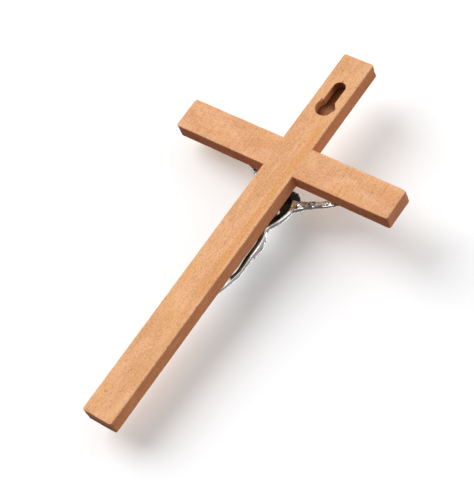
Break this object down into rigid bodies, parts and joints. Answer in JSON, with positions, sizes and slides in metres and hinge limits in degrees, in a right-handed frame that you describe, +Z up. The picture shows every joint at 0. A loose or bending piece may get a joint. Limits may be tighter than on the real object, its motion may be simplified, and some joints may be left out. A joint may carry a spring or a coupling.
{
  "type": "wall crucifix",
  "caption": "Slim wooden wall cross with a halving joint, a keyhole pocket in its back, and a hollow-backed cast metal figure nailed to its front.",
  "frame": {"origin": "on the flat back of the upright, on its centre line, 9 mm below its top end and just above the keyhole pocket", "axes": "+Z up along the upright, +Y out of the back towards the wall, so the figure faces -Y, and +X to the figure's left"},
  "size_m": [0.145, 0.0286, 0.252],
  "materials": {
    "beech_upright": "bare sanded wood, fine straight grain",
    "beech_crossbar": "bare sanded wood, fine straight grain with cross marks",
    "silver_alloy": "polished bright, blackened in the recesses",
    "nail_steel": "plain bright nail heads"
  },
  "bodies": {
    "root": {"upright": "beech_upright", "crossbar": "beech_crossbar", "corpus": "silver_alloy", "left_hand_nail": "nail_steel", "right_hand_nail": "nail_steel", "feet_nail": "nail_steel"}
  },
  "joints": []
}
